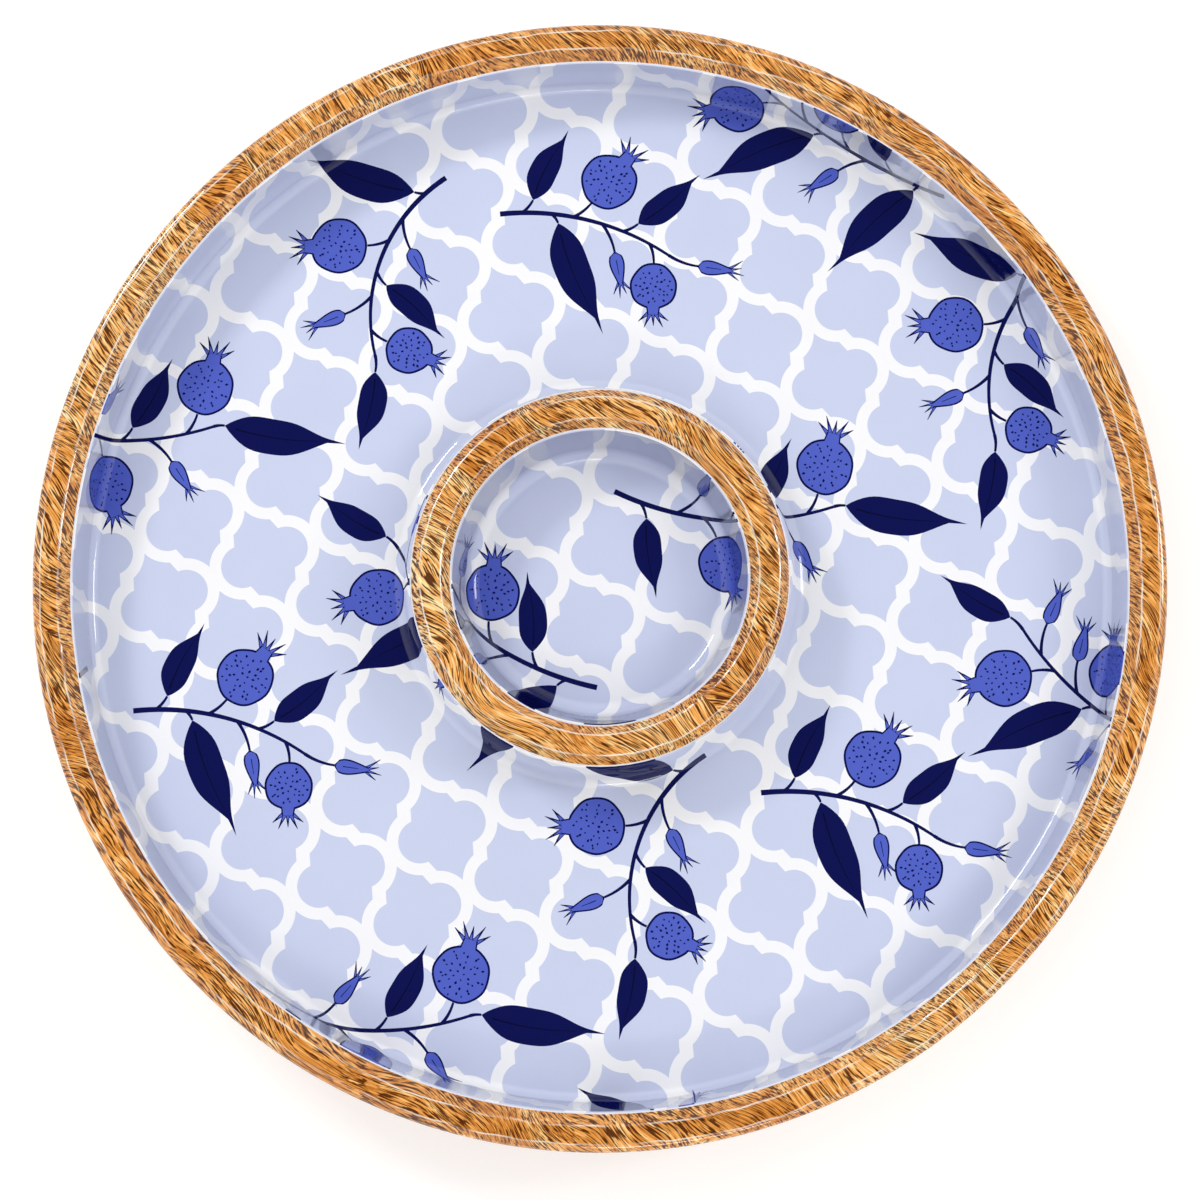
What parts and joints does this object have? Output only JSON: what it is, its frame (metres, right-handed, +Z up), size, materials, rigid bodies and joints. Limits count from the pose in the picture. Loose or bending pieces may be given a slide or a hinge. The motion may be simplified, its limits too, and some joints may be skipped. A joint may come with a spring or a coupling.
{
  "type": "chip and dip server",
  "caption": "Round turned wooden platter with a raised dip ring in the middle, a printed and clear-coated chip channel around it and a printed dip well inside.",
  "frame": {"origin": "centre of the face the platter stands on", "axes": "+Z up out of the dip well, along the axis it was turned about; X and Y level"},
  "size_m": [0.381, 0.381, 0.044],
  "materials": {
    "mango_wood": "clear gloss lacquer over turned wood",
    "ground_coat": "white ground",
    "print_sheet": "printed pale blue lattice with dark blue sprigs",
    "clear_coat": "thick clear gloss"
  },
  "bodies": {
    "root": {"board_1": "mango_wood", "board_2": "mango_wood", "board_3": "mango_wood", "board_4": "mango_wood", "board_5": "mango_wood", "board_6": "mango_wood", "board_7": "mango_wood", "channel_ground_coat": "ground_coat", "channel_print_sheet": "print_sheet", "channel_clear_coat": "clear_coat", "well_ground_coat": "ground_coat", "well_print_sheet": "print_sheet", "well_clear_coat": "clear_coat"}
  },
  "joints": []
}
